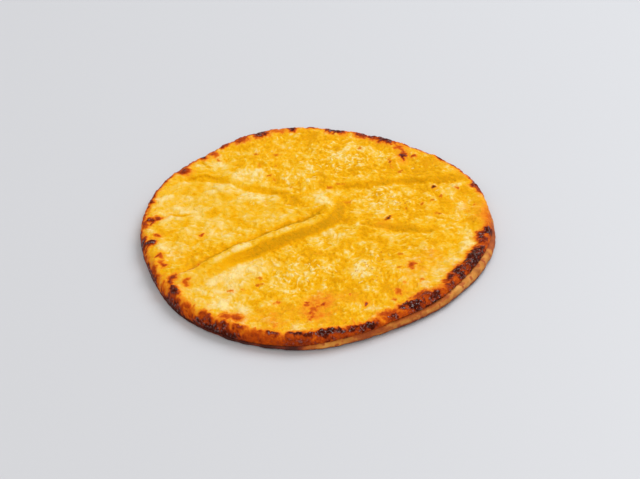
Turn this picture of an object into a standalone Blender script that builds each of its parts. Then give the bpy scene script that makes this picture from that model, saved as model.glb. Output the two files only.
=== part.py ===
"""Cheese naan: a round flatbread baked with a layer of grated cheese melted over its top.

Metres, +Z up. The origin is the middle of the bounding box, on the surface that the bread rests on.
Two solids: the bread, and the cheese, which covers the top and hangs a little way down the side
onto a ledge in the bread. Both are turned from a profile, then shaped by the same functions.
"""

import math

import bpy
import numpy as np

MM = 0.001

# The plan: a circle with a few slow lobes, each (waves round the rim, height in mm, angle of a peak).
MEAN_RADIUS = 81.7
OUTLINE_LOBES = ((1, 1.0, 183), (2, 2.2, 70), (3, 1.9, 3), (4, 0.8, 0), (5, 0.8, 31), (6, 0.4, 42),
                 (7, 0.2, 7), (9, 0.3, 28))

# Heights above the table, in mm.
BREAD_TOP = 5.2
CHEESE_TOP = 7.1
LEDGE = 3.4
GAP = 0.3  # between the two solids

# Sizes of the rim, in mm.
FOOT_WIDTH = 9.0  # how far the flat underside stops short of the outline
LIP = 4.6  # how thick the cheese is where it hangs down the side
RIM_PUFF = 0.6  # how far the baked rim stands above the middle
RIM_LUMPS = 0.22  # how uneven its crest is

# How the edge of the cheese changes round the side: (angle and half width in degrees, mm).
EDGE_HEIGHTS = ((325, 40, 1.9), (285, 20, 0.8), (222, 45, -1.9), (135, 35, -0.3), (60, 60, -0.8))
EDGE_INSETS = ((340, 24, 2.6), (305, 30, 1.0), (8, 14, 0.6))
# The ledge falls away towards the outline: distances in from it, and heights from LEDGE.
LEDGE_INSETS = (0.7, 2.2, 4.9)
LEDGE_FALL = (-0.35, 0.1, 0.4)
# How much of a change in the edge's height each level shares, as heights and shares.
SHARE_LEVELS = (0, 2.9, 3.95, 5.2, 5.5, 7.0)
SHARES = (0, 1, 0.9, 0.45, 0.4, 0)

SEGMENTS = 128  # round the bread
TOP_RINGS = 28  # from the middle to the rim, on the cheese
INNER_RINGS = 5  # the same between the bread and the cheese, where nothing shows

# A fold is a line with the far side standing higher than the near one. Its points are the middle of
# the slope between the two, all in mm. The slope is as wide as "slope". It ends in a crease at its
# foot, with a low bank on the near side, and in a narrow crest with a groove behind it at its top.
MAIN_FOLD = {
    "line": ((-62, -54), (-51, -47), (-43, -39.5), (-35, -32), (-26, -25), (-17, -18.5), (-7, -12),
             (2, -6), (8, -1), (11, 5), (11.5, 12), (9, 19)),
    "height": 2.3, "slope": 8.0, "reach": 15, "crease": 0.4, "bank": 0.0,
    "crest": 0.5, "crest_at": 6.4, "groove": 1.3, "groove_at": 8.9,
}
FAR_FOLD = {
    "line": ((-6, 23), (3, 27), (12, 28.6), (22, 29), (31, 30.5), (39, 33.5), (47, 33.4),
             (57, 32.4), (66, 34.5), (76, 38)),
    "height": 1.4, "slope": 5.0, "reach": 12, "crease": 0.5, "bank": 0.6,
    "crest": 0.0, "crest_at": 0.0, "groove": 0.0, "groove_at": 0.0,
}
LEFT_FOLD = {
    "line": ((-78, 27), (-68, 33), (-58, 34.5), (-48, 33.5), (-41, 30.5), (-33, 26), (-23, 24.6),
             (-15, 19.5), (-8, 14.5)),
    "height": 0.9, "slope": 4.5, "reach": 10, "crease": 0.4, "bank": 0.3,
    "crest": 0.0, "crest_at": 0.0, "groove": 0.0, "groove_at": 0.0,
}
RIGHT_FOLD = {
    "line": ((12, 0), (20, -3), (29, -4), (37, -6.5), (46, -8), (57, -7)),
    "height": 0.7, "slope": 4.0, "reach": 9, "crease": 0.4, "bank": 0.3,
    "crest": 0.0, "crest_at": 0.0, "groove": 0.0, "groove_at": 0.0,
}
FOLDS = (MAIN_FOLD, FAR_FOLD, LEFT_FOLD, RIGHT_FOLD)

# Lone mounds of cheese: (x, y, radius, height), all in mm.
MOUNDS = ((1, 16, 8, 1.0), (-35.5, -22.5, 3.5, 0.8), (-45, -33, 4.5, 0.9), (-30, 37, 6, 0.5),
          (-48, 22, 7, 0.4), (16, 52, 9, 0.5), (35, 14, 8, 0.4), (22, -42, 9, 0.5), (-6, -42, 8, 0.5))

# Blistered stretches of the rim: (first and last angle in degrees, mm in from the outline to their
# middle, half width in mm, height in mm).
BLISTERS = ((322, 349, 5.2, 2.8, 0.9), (299, 317, 4.4, 2.4, 0.7), (283, 289, 3.0, 1.6, 0.4),
            (261, 279, 4.0, 1.8, 0.6), (232, 250, 2.6, 1.8, 0.4), (217, 229, 3.2, 2.2, 0.5),
            (201, 211, 2.4, 1.8, 0.4), (189, 196, 3.2, 2.2, 0.5), (352, 360, 3.8, 2.0, 0.5),
            (60, 69, 4.4, 2.0, 0.4), (79, 88, 4.2, 1.9, 0.5), (107, 114, 5.0, 2.2, 0.3),
            (142, 150, 4.8, 2.2, 0.3))


def smooth_step(low, high, value):
    """0 below low, 1 above high, and a smooth S between."""
    share = np.clip((value - low) / (high - low), 0, 1)
    return share * share * (3 - 2 * share)


def hump(distance, half_width):
    """1 at a distance of 0, falling off smoothly over the half width."""
    return np.exp(-((distance / half_width) ** 2))


def swell(x, y, wavelength, seed, waves=14):
    """Gentle random ups and downs: plane waves of about one length, in seeded directions, added up."""
    draw = np.random.default_rng(seed)
    total = np.zeros_like(x)
    for _ in range(waves):
        turn = draw.uniform(0, 2 * math.pi)
        pace = 2 * math.pi / (wavelength * draw.uniform(0.8, 1.3))
        total += np.cos(pace * (x * math.cos(turn) + y * math.sin(turn)) + draw.uniform(0, 2 * math.pi))
    return total / math.sqrt(waves / 2)


def outline(angle):
    """Radius of the bread at an angle from +X, in mm."""
    radius = MEAN_RADIUS + np.zeros_like(angle)
    for waves, height, peak in OUTLINE_LOBES:
        radius += height * np.cos(waves * (angle - math.radians(peak)))
    return radius


def round_the_side(changes, angle):
    """The sum of some changes, each strongest at its own angle, in mm."""
    total = np.zeros_like(angle)
    for middle, half_width, change in changes:
        total += change * hump((np.degrees(angle) - middle + 180) % 360 - 180, half_width)
    return total


def ledge_height(inset):
    """Height of the middle of the gap at the ledge, at a distance in from the outline, in mm."""
    return LEDGE + np.interp(inset, LEDGE_INSETS, LEDGE_FALL)


def fold_height(fold, x, y):
    """Height that a fold adds at each point, from how far across its line the point lies."""
    nearest = np.full_like(x, np.inf)
    across = np.zeros_like(x)
    along = np.zeros_like(x)
    line = np.array(fold["line"], float)
    lengths = np.hypot(*np.diff(line, axis=0).T)
    reached = 0.0
    for start, end, length in zip(line[:-1], line[1:], lengths):
        ahead = (end - start) / length
        run = np.clip((x - start[0]) * ahead[0] + (y - start[1]) * ahead[1], 0, length)
        off_x = x - start[0] - run * ahead[0]
        off_y = y - start[1] - run * ahead[1]
        away = np.hypot(off_x, off_y)
        side = np.where(ahead[0] * off_y - ahead[1] * off_x >= 0, 1.0, -1.0)
        nearer = away < nearest
        across = np.where(nearer, away * side, across)
        along = np.where(nearer, reached + run, along)
        nearest = np.minimum(nearest, away)
        reached += length
    half = fold["slope"] / 2
    height = fold["height"] * smooth_step(-half, half, across)
    height *= np.exp(-np.maximum(across - half, 0) / fold["reach"])
    height -= fold["crease"] * hump(across + half, 1.6)
    height += fold["bank"] * hump(across + half + 4.5, 3.5)
    height += fold["crest"] * hump(across - fold["crest_at"], 1.8)
    height -= fold["groove"] * hump(across - fold["groove_at"], 1.5) * smooth_step(12, 34, reached - along)
    return height * smooth_step(0, 14, along) * smooth_step(0, 15, reached - along)


def blister_height(angle, inset, x, y):
    """Height that the blistered stretches add, given how far in from the outline each point lies."""
    height = np.zeros_like(angle)
    for first, last, middle, half_width, rise in BLISTERS:
        turn = (np.degrees(angle) - first) % 360
        window = smooth_step(0, 3, turn) * smooth_step(0, 3, last - first - turn)
        height += rise * window * hump(inset - middle, half_width)
    return height * (1 + 0.35 * swell(x, y, 8, seed=21))


def relief(x, y):
    """Everything that stands above or below the flat top of the cheese, in mm."""
    height = 0.26 * swell(x, y, 34, seed=3) + 0.16 * swell(x, y, 13, seed=8)
    for fold in FOLDS:
        height += fold_height(fold, x, y)
    for centre_x, centre_y, radius, rise in MOUNDS:
        height += rise * hump(np.hypot(x - centre_x, y - centre_y), radius)
    return height


def turned(name, profile):
    """A mesh object turned round +Z from a profile of (radius, height) in mm, listed down its outer side."""
    line = bpy.data.meshes.new(name + "_profile")
    line.from_pydata([(radius * MM, 0, height * MM) for radius, height in profile],
                     [(i, i + 1) for i in range(len(profile) - 1)], [])
    turning = bpy.data.objects.new(name + "_turning", line)
    bpy.context.scene.collection.objects.link(turning)
    screw = turning.modifiers.new("Turn", "SCREW")
    screw.steps = screw.render_steps = SEGMENTS
    screw.use_merge_vertices = True
    screw.merge_threshold = 0.00002
    graph = bpy.context.evaluated_depsgraph_get()
    mesh = bpy.data.meshes.new_from_object(turning.evaluated_get(graph))
    mesh.name = name
    bpy.data.objects.remove(turning)
    bpy.data.meshes.remove(line)
    return bpy.data.objects.new(name, mesh)


def points_of(thing):
    """The object's vertices as an array of x, y and z in mm."""
    points = np.empty(len(thing.data.vertices) * 3, np.float32)
    thing.data.vertices.foreach_get("co", points)
    return points.reshape(-1, 3).astype(float) / MM


def set_points(thing, points):
    """Puts back an array of x, y and z in mm."""
    thing.data.vertices.foreach_set("co", (points * MM).astype(np.float32).ravel())
    thing.data.update()


def shape(thing, is_cheese):
    """Gives a turned solid the naan's outline, the uneven edge of the cheese and, on top, its relief."""
    x, y, z = points_of(thing).T
    angle = np.arctan2(y, x)
    radius = np.hypot(x, y)
    inset = MEAN_RADIUS - radius
    if is_cheese:
        pulled_in = round_the_side(EDGE_INSETS, angle) * smooth_step(LIP, 0, inset)
        radius -= pulled_in
        on_ledge = z < ledge_height(LIP) + GAP
        z = z + on_ledge * (ledge_height(inset + pulled_in) - ledge_height(inset))
    radius *= outline(angle) / MEAN_RADIUS
    x, y = radius * np.cos(angle), radius * np.sin(angle)
    at_side = smooth_step(2 * LIP, LIP, inset)
    at_edge = np.interp(z, SHARE_LEVELS, SHARES)
    ragged = 0.12 * np.sin(11 * angle) + 0.1 * np.sin(17 * angle + 1)
    z = z + (round_the_side(EDGE_HEIGHTS, angle) + ragged) * at_side * at_edge
    on_top = smooth_step(BREAD_TOP + GAP, CHEESE_TOP - 0.2, z) * is_cheese
    in_middle = smooth_step(0, 12, inset)
    lumps = RIM_LUMPS * swell(x, y, 10, seed=5)
    z = z + on_top * (relief(x, y) * (0.2 + 0.8 * in_middle) + lumps * (1 - in_middle))
    z = z + on_top * blister_height(angle, inset, x, y)
    set_points(thing, np.stack([x, y, z], axis=1))


def bread():
    """The baked dough: a flat top, a ledge under the edge of the cheese, a round side and a flat foot."""
    rim = MEAN_RADIUS
    step = rim - LIP - GAP
    inner = [(radius, BREAD_TOP) for radius in np.linspace(0, step - 2.2, INNER_RINGS)[:-1]]
    shoulder = [(step - 2.2, BREAD_TOP), (step - 0.7, BREAD_TOP - 0.2), (step, BREAD_TOP - 0.7)]
    ledge = [(rim - inset, ledge_height(inset) - GAP / 2) for inset in reversed(LEDGE_INSETS)]
    side = [(rim, LEDGE - 1.4), (rim - 0.8, 0.9), (rim - 2.8, 0.2), (rim - FOOT_WIDTH, 0)]
    return turned("bread", inner + shoulder + ledge + side + [(0, 0)])


def cheese():
    """The melted cheese: a sheet over the top, with a rim that rolls over and hangs to the ledge."""
    rim = MEAN_RADIUS
    step = rim - LIP
    top = [(radius, CHEESE_TOP + RIM_PUFF * smooth_step(14, 6, rim - radius))
           for radius in np.linspace(0, rim - 5.5, TOP_RINGS)]
    roll = [(rim - 3.2, CHEESE_TOP + 0.5), (rim - 1.5, CHEESE_TOP - 0.1), (rim - 0.4, CHEESE_TOP - 1.3),
            (rim, LEDGE + 1.2)]
    ledge = [(rim - inset, ledge_height(inset) + GAP / 2) for inset in (0.5, 2.2, LIP)]
    shoulder = [(step, BREAD_TOP - 0.6), (step - 0.6, BREAD_TOP + 0.1), (step - 2.2, BREAD_TOP + GAP)]
    under = [(radius, BREAD_TOP + GAP) for radius in np.linspace(step - 2.2, 0, INNER_RINGS)[1:]]
    return turned("cheese", top + roll + ledge + shoulder + under)


def centre(things):
    """Moves the solids together so that the origin is the middle of their box, at its lowest level."""
    every = np.concatenate([points_of(thing) for thing in things])
    low, high = every.min(axis=0), every.max(axis=0)
    middle = np.array([(low[0] + high[0]) / 2, (low[1] + high[1]) / 2, low[2]])
    for thing in things:
        set_points(thing, points_of(thing) - middle)


def material(name, colour, roughness):
    finish = bpy.data.materials.new(name)
    finish.use_nodes = True
    surface = finish.node_tree.nodes["Principled BSDF"]
    surface.inputs["Base Color"].default_value = (*colour, 1)
    surface.inputs["Roughness"].default_value = roughness
    surface.inputs["Metallic"].default_value = 0
    return finish


def main():
    for thing in list(bpy.data.objects):
        bpy.data.objects.remove(thing)
    naan = bpy.data.collections.new("cheese_naan")
    bpy.context.scene.collection.children.link(naan)
    dough, melt = bread(), cheese()
    dough.data.materials.append(material("baked_dough", (0.76, 0.45, 0.16), 0.7))
    melt.data.materials.append(material("baked_cheese", (0.91, 0.49, 0.04), 0.35))
    for thing in (dough, melt):
        naan.objects.link(thing)
        shape(thing, is_cheese=thing is melt)
        thing.data.shade_smooth()
        thing.data.set_sharp_from_angle(angle=math.radians(50))
    centre((dough, melt))


main()
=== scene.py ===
import itertools
import math

import bpy
import numpy as np
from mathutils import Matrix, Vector


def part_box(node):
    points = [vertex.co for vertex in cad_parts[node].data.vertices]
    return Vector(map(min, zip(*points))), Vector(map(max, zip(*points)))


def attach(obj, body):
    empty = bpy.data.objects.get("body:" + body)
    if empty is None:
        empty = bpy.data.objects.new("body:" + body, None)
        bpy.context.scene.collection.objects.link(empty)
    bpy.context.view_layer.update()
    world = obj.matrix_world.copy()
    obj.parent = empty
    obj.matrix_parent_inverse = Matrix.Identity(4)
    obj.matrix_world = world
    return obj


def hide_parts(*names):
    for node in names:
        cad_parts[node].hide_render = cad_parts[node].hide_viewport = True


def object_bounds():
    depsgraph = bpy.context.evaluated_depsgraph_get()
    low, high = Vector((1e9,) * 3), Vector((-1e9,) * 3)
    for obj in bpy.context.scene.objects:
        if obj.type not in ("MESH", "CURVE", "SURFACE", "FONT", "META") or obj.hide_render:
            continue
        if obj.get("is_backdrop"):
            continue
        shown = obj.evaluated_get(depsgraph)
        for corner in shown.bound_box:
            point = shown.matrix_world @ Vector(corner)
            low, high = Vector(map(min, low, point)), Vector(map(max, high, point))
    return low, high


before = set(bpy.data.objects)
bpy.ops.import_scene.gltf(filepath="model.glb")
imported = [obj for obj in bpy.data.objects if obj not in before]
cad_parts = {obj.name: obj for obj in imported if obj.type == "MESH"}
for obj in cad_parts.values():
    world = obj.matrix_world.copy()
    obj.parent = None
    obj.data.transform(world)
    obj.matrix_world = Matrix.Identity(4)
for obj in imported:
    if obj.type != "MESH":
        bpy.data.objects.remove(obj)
cadLow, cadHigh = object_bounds()
mm = 0.001

# The form of the naan, the same as the solids': lengths in mm, angles in degrees from +X.
naan = {
    "meanRadius": 81.7,
    "lobes": ((1, 1.0, 183), (2, 2.2, 70), (3, 1.9, 3), (4, 0.8, 0), (5, 0.8, 31), (6, 0.4, 42),
              (7, 0.2, 7), (9, 0.3, 28)),           # waves round the rim, height, angle of a peak
    "stepsRound": 128,                              # flats round the solids, for the middle of their box
    "inside": 0.22,                                 # how far these pieces stay inside the solids' outline
    "clearance": 0.03,                              # how far they stay under the solids' top
    "breadTop": 5.2, "cheeseTop": 7.1, "ledge": 3.4,
    "seam": 0.04,                                   # left between bread and cheese
    "lip": 4.6,                                     # how thick the cheese is where it hangs down the side
    "rimPuff": 0.6, "rimLumps": 0.22,               # how far the rim stands up, and how unevenly
    "swells": ((0.26, 34, 3), (0.16, 13, 8)),       # height, wavelength, seed
    # How the edge of the cheese stands up or draws in round the side: (angle, half width, mm).
    "edgeHeights": ((325, 40, 1.9), (285, 20, 0.8), (222, 45, -1.9), (135, 35, -0.3), (60, 60, -0.8)),
    "edgeInsets": ((340, 24, 2.6), (305, 30, 1.0), (8, 14, 0.6)),
    "ledgeInsets": (0.7, 2.2, 4.9), "ledgeFall": (-0.35, 0.1, 0.4),     # distances in, heights from "ledge"
    # How much of the edge's height each level shares.
    "shareLevels": (0, 2.9, 3.95, 5.2, 5.5, 7.0), "shares": (0, 1, 0.9, 0.45, 0.4, 0),
}
# A fold is a line whose left side stands higher by "height", over a slope whose middle is "shift" from
# the line, and dies away over "reach". A crease and a bank lie at its foot, a crest and a groove behind
# its top. Its wall, turned from the key lamp, is painted with shade towards deep gold up to "wallTop", from
# "clearFrom" along it, fading over "fade"; the crest gets a pale painted highlight and the groove a thin
# amber painted shade, each by its own amount. All in mm.
plainFold = {"crest": 0, "crestAt": 0, "groove": 0, "grooveAt": 0, "paintedCrestHighlight": 0, "paintedGrooveShade": 0, "clearFrom": 30}
mainFold = {
    "line": ((-62, -54), (-51, -47), (-43, -39.5), (-35, -32), (-26, -25), (-17, -18.5), (-7, -12),
             (2, -6), (8, -1), (11, 5), (11.5, 12), (9, 19)),
    "height": 2.3, "slope": 5.5, "shift": 0.7, "reach": 15, "crease": 0.35, "bank": 0,
    "crest": 0.5, "crestAt": 5.9, "groove": 1.3, "grooveAt": 9.2,
    "clearFrom": 46, "paintedWallShade": 0.95, "wallTop": 2.6, "fade": 0.8, "paintedCrestHighlight": 0.2, "paintedGrooveShade": 0.8,
}
farFold = {
    **plainFold,
    "line": ((-6, 23), (3, 27), (12, 28.6), (22, 29), (31, 30.5), (39, 33.5), (47, 33.4),
             (57, 32.4), (66, 34.5), (76, 38)),
    "height": 1.4, "slope": 5.0, "shift": 0.5, "reach": 12, "crease": 0.35, "bank": 0.6,
    "paintedWallShade": 0.8, "wallTop": 0.6, "fade": 2.6,
}
leftFold = {
    **plainFold,
    "line": ((-78, 27), (-68, 33), (-58, 34.5), (-48, 33.5), (-41, 30.5), (-33, 26), (-23, 24.6),
             (-15, 19.5), (-8, 14.5)),
    "height": 0.9, "slope": 4.5, "shift": 1.4, "reach": 10, "crease": 0.15, "bank": 0.3,
    "paintedWallShade": 0.45, "wallTop": 2.4, "fade": 1.8,
}
rightFold = {
    **plainFold,
    "line": ((12, 0), (20, -3), (29, -4), (37, -6.5), (46, -8), (57, -7)),
    "height": 0.7, "slope": 4.0, "shift": 0.8, "reach": 9, "crease": 0.25, "bank": 0.3,
    "paintedWallShade": 0.8, "wallTop": 1.6, "fade": 2.2,
}
folds = (mainFold, farFold, leftFold, rightFold)
# Lone mounds of cheese: (x, y, radius, height), in mm.
mounds = ((1, 16, 8, 1.0), (-35.5, -22.5, 3.5, 0.8), (-45, -33, 4.5, 0.9), (-30, 37, 6, 0.5),
          (-48, 22, 7, 0.4), (16, 52, 9, 0.5), (35, 14, 8, 0.4), (22, -42, 9, 0.5), (-6, -42, 8, 0.5))
# Blistered stretches of the rim: (first and last angle, mm in from the outline, half width, height).
blisters = ((322, 349, 5.2, 2.8, 0.9), (299, 317, 4.4, 2.4, 0.7), (283, 289, 3.0, 1.6, 0.4),
            (261, 279, 4.0, 1.8, 0.6), (232, 250, 2.6, 1.8, 0.4), (217, 229, 3.2, 2.2, 0.5),
            (201, 211, 2.4, 1.8, 0.4), (189, 196, 3.2, 2.2, 0.5), (352, 360, 3.8, 2.0, 0.5),
            (60, 69, 4.4, 2.0, 0.4), (79, 88, 4.2, 1.9, 0.5), (107, 114, 5.0, 2.2, 0.3),
            (142, 150, 4.8, 2.2, 0.3))


def smoothStep(low, high, value):
    # 0 below low, 1 above high, and a smooth S between.
    share = np.clip((value - low) / (high - low), 0, 1)
    return share * share * (3 - 2 * share)


def hump(distance, halfWidth):
    # A bell: e to the power of minus the square of distance over half width.
    return np.exp(-((distance / halfWidth) ** 2))


def swell(x, y, wavelength, seed, waves=14):
    # Plane waves of about one length in seeded directions, added up.
    draw = np.random.default_rng(seed)
    total = np.zeros_like(x)
    for _ in range(waves):
        turn = draw.uniform(0, 2 * math.pi)
        pace = 2 * math.pi / (wavelength * draw.uniform(0.8, 1.3))
        along = x * math.cos(turn) + y * math.sin(turn)
        total += np.cos(pace * along + draw.uniform(0, 2 * math.pi))
    return total / math.sqrt(waves / 2)


def outlineRadius(angle):
    # The mean radius plus a cosine for each lobe, in mm.
    radius = naan["meanRadius"] + np.zeros_like(angle)
    for waves, height, peak in naan["lobes"]:
        radius += height * np.cos(waves * (angle - math.radians(peak)))
    return radius


def roundTheSide(changes, angle):
    # The sum of bells along the angle, each (middle, half width, height).
    total = np.zeros_like(angle)
    for middle, halfWidth, change in changes:
        total += change * hump((np.degrees(angle) - middle + 180) % 360 - 180, halfWidth)
    return total


def ledgeHeight(inset):
    # Height of the seam between bread and cheese at the ledge, at a distance in from the outline.
    return naan["ledge"] + np.interp(inset, naan["ledgeInsets"], naan["ledgeFall"])


def acrossLine(line, x, y):
    # Signed distance to the left of a broken line, and the distance run along it, of each point.
    nearest = np.full_like(x, np.inf)
    across = np.zeros_like(x)
    along = np.zeros_like(x)
    line = np.array(line, float)
    lengths = np.hypot(*np.diff(line, axis=0).T)
    reached = 0.0
    for start, end, length in zip(line[:-1], line[1:], lengths):
        ahead = (end - start) / length
        run = np.clip((x - start[0]) * ahead[0] + (y - start[1]) * ahead[1], 0, length)
        offX = x - start[0] - run * ahead[0]
        offY = y - start[1] - run * ahead[1]
        away = np.hypot(offX, offY)
        side = np.where(ahead[0] * offY - ahead[1] * offX >= 0, 1.0, -1.0)
        nearer = away < nearest
        across = np.where(nearer, away * side, across)
        along = np.where(nearer, reached + run, along)
        nearest = np.minimum(nearest, away)
        reached += length
    return across, along, reached


def foldHeight(fold, x, y):
    # A smooth step up across the line that dies away behind, with a bank and a crease at its foot and a
    # crest and a groove behind its top, faded out at both ends of the line.
    across, along, reached = acrossLine(fold["line"], x, y)
    across = across - fold["shift"]
    half = fold["slope"] / 2
    height = fold["height"] * smoothStep(-half, half, across)
    height *= np.exp(-np.maximum(across - half, 0) / fold["reach"])
    height -= fold["crease"] * hump(across + half, 1.2)
    height += fold["bank"] * hump(across + half + 4.5, 3.5)
    height += fold["crest"] * hump(across - fold["crestAt"], 1.8)
    left = reached - along
    height -= fold["groove"] * hump(across - fold["grooveAt"], 1.5) * smoothStep(12, 34, left)
    return height * smoothStep(0, 14, along) * smoothStep(0, 15, left)


def blisterHeight(angle, inset, x, y):
    # Each blister is a bell across the rim, cut off smoothly at its first and last angle.
    height = np.zeros_like(angle)
    for first, last, middle, halfWidth, rise in blisters:
        turn = (np.degrees(angle) - first) % 360
        window = smoothStep(0, 3, turn) * smoothStep(0, 3, last - first - turn)
        height += rise * window * hump(inset - middle, halfWidth)
    return height * (1 + 0.35 * swell(x, y, 8, seed=21))


def relief(x, y):
    # The sum of the gentle swells, the folds and the lone mounds.
    height = sum(rise * swell(x, y, wavelength, seed) for rise, wavelength, seed in naan["swells"])
    for fold in folds:
        height += foldHeight(fold, x, y)
    for centreX, centreY, radius, rise in mounds:
        height += rise * hump(np.hypot(x - centreX, y - centreY), radius)
    return height


def place(inset, height, angle, isCheese):
    # A point of the profile, (inset from the mean circle, height), is carried round to its angle,
    # stretched to the outline, moved with the uneven edge and, on top of the cheese, lifted by the relief.
    radius = naan["meanRadius"] - inset
    if isCheese:
        pulledIn = roundTheSide(naan["edgeInsets"], angle) * smoothStep(naan["lip"], 0, inset)
        radius = radius - pulledIn
        onLedge = height < ledgeHeight(naan["lip"]) + naan["seam"]
        height = height + onLedge * (ledgeHeight(inset + pulledIn) - ledgeHeight(inset))
    radius = radius * (outlineRadius(angle) - naan["inside"]) / naan["meanRadius"]
    x, y = radius * np.cos(angle), radius * np.sin(angle)
    atSide = smoothStep(2 * naan["lip"], naan["lip"], inset)
    atEdge = np.interp(height, naan["shareLevels"], naan["shares"])
    ragged = 0.12 * np.sin(11 * angle) + 0.1 * np.sin(17 * angle + 1)
    z = height + (roundTheSide(naan["edgeHeights"], angle) + ragged) * atSide * atEdge
    onTop = smoothStep(naan["breadTop"] + 0.3, naan["cheeseTop"] - 0.2, z) * isCheese
    inMiddle = smoothStep(0, 12, inset)
    lumps = naan["rimLumps"] * swell(x, y, 10, seed=5)
    z = z + onTop * (relief(x, y) * (0.2 + 0.8 * inMiddle) + lumps * (1 - inMiddle))
    z = z + onTop * blisterHeight(angle, inset, x, y)
    return np.stack([x, y, z], axis=-1)


def pickAt(order, cell):
    # A seeded pick for each corner of a lattice that repeats after 256 cells: its coordinates go
    # through one shuffle in turn.
    cell = cell & 255
    return order[(order[(order[cell[..., 0]] + cell[..., 1]) & 255] + cell[..., 2]) & 255]


def gradientNoise(points, size, seed):
    # Smooth random field: at each corner of a cubic lattice of this size a seeded slope, blended
    # between the corners with the quintic fade. About -1 to 1.
    draw = np.random.default_rng(seed)
    order = draw.permutation(256)
    slopes = draw.normal(size=(256, 3))
    slopes /= np.linalg.norm(slopes, axis=1)[:, None]
    scaled = points / size + 37.3
    cell = np.floor(scaled).astype(int)
    part = scaled - cell
    fade = part ** 3 * (part * (part * 6 - 15) + 10)
    total = np.zeros(points.shape[:-1])
    for corner in itertools.product((0, 1), repeat=3):
        value = (slopes[pickAt(order, cell + corner)] * (part - corner)).sum(-1)
        total += value * np.where(corner, fade, 1 - fade).prod(-1)
    return total * 1.6


def layeredNoise(points, size, seed, layers=3, keep=0.5):
    # Gradient noise at a size and at halves of it, each layer weaker by the share kept.
    total = np.zeros(points.shape[:-1])
    for layer in range(layers):
        total += keep ** layer * gradientNoise(points, size / 2 ** layer, seed + layer)
    return total


def strandField(points, width, length, seed, ways=5):
    # Criss-cross strands, 0 to 1: for each of several headings, noise stretched along the heading is cut
    # to its upper part and shown only in some patches; the highest of them counts.
    total = np.zeros(points.shape[:-1])
    for way in range(ways):
        turn = math.pi * (way + 0.35) / ways
        along = points[..., 0] * math.cos(turn) + points[..., 1] * math.sin(turn)
        aside = points[..., 1] * math.cos(turn) - points[..., 0] * math.sin(turn)
        bent = aside + 0.5 * gradientNoise(points, 3.5, seed + 10 + way)
        turned = np.stack([along / length, bent / width, points[..., 2] / length], axis=-1)
        strand = smoothStep(0.2, 0.5, gradientNoise(turned, 1.0, seed + way))
        patch = smoothStep(-0.1, 0.35, gradientNoise(points, 6.0, seed + 20 + way))
        total = np.maximum(total, strand * patch)
    return total


def bubbles(points, size, seed):
    # Round caps on seeded centres, one in each cell of a lattice: 1 at a centre, 0 where cells meet.
    draw = np.random.default_rng(seed)
    order = draw.permutation(256)
    centres = draw.uniform(0.15, 0.85, (256, 3))
    scaled = points / size + 53.7
    cell = np.floor(scaled).astype(int)
    nearest = np.full(points.shape[:-1], np.inf)
    for corner in itertools.product((-1, 0, 1), repeat=3):
        centre = cell + corner + centres[pickAt(order, cell + corner)]
        nearest = np.minimum(nearest, ((scaled - centre) ** 2).sum(-1))
    return np.sqrt(np.clip(1 - nearest / 0.6, 0, 1))


def spline(points, count):
    # A smooth line through a profile's points (Catmull-Rom), at even steps of its length.
    points = np.array(points, float)
    padded = np.concatenate([2 * points[:1] - points[1:2], points, 2 * points[-1:] - points[-2:-1]])
    t = np.linspace(0, 1, 24)[:, None]
    runs = []
    for a, b, c, d in zip(padded, padded[1:], padded[2:], padded[3:]):
        runs.append(0.5 * (2 * b + (c - a) * t + (2 * a - 5 * b + 4 * c - d) * t ** 2
                           + (3 * b - a - 3 * c + d) * t ** 3))
    fine = np.concatenate(runs)
    reached = np.concatenate([[0], np.cumsum(np.hypot(*np.diff(fine, axis=0).T))])
    even = np.linspace(0, reached[-1], count)
    return np.stack([np.interp(even, reached, fine[:, k]) for k in (0, 1)], axis=-1)


def discGrid(steps):
    # A square grid pushed out to a disc: the share of the radius is the larger coordinate, and the
    # angle runs evenly along each side. Gives share, angle, the quads, and the rim's vertices in turn.
    line = np.linspace(-1, 1, steps + 1)
    a, b = np.meshgrid(line, line, indexing="ij")
    share = np.maximum(abs(a), abs(b))
    wide = abs(a) >= abs(b)
    safeA, safeB = np.where(a == 0, 1, a), np.where(b == 0, 1, b)
    angle = np.where(wide, math.pi / 4 * b / safeA + math.pi * (a < 0),
                     math.pi / 2 - math.pi / 4 * a / safeB + math.pi * (b < 0))
    index = np.arange((steps + 1) ** 2).reshape(steps + 1, steps + 1)
    quads = np.stack([index[:-1, :-1], index[1:, :-1], index[1:, 1:], index[:-1, 1:]], axis=-1)
    rim = np.concatenate([index[-1, :-1], index[:0:-1, -1], index[0, :0:-1], index[:-1, 0]])
    return share.ravel(), angle.ravel(), quads.reshape(-1, 4), rim


def shell(steps, edge, profile):
    # A disc grid whose rim lies at the edge's inset, carried on by one ring of vertices for each (inset,
    # height) of the profile. Gives angle, inset, height, number of the ring (the last two 0 on the disc),
    # the quads, and the last ring.
    share, angle, quads, rim = discGrid(steps)
    count = len(profile)
    loops = np.concatenate([rim[None], len(share) + np.arange(count * len(rim)).reshape(count, -1)])
    ahead = np.roll(loops, -1, axis=1)
    sides = np.stack([loops[:-1], loops[1:], ahead[1:], ahead[:-1]], axis=-1)
    level = np.zeros_like(share)
    inset, height, ring = (np.concatenate([disc, np.repeat(side, len(rim))]) for disc, side in (
        (naan["meanRadius"] - share * (naan["meanRadius"] - edge), profile[:, 0]),
        (level, profile[:, 1]), (level, np.arange(1, count + 1))))
    angle = np.concatenate([angle, np.tile(angle[rim], count)])
    return angle, inset, height, ring, np.concatenate([quads, sides.reshape(-1, 4)]), loops[-1]


def vertexNormals(points, quads):
    # The mean of the faces' normals at each vertex, each a cross product of its diagonals.
    a, b, c, d = points[quads].transpose(1, 0, 2)
    across = np.cross(c - a, d - b)
    total = np.stack([np.bincount(quads.ravel(), np.repeat(across[:, k], 4), len(points))
                      for k in range(3)], axis=-1)
    return total / np.maximum(np.linalg.norm(total, axis=1), 1e-9)[:, None]


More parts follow.
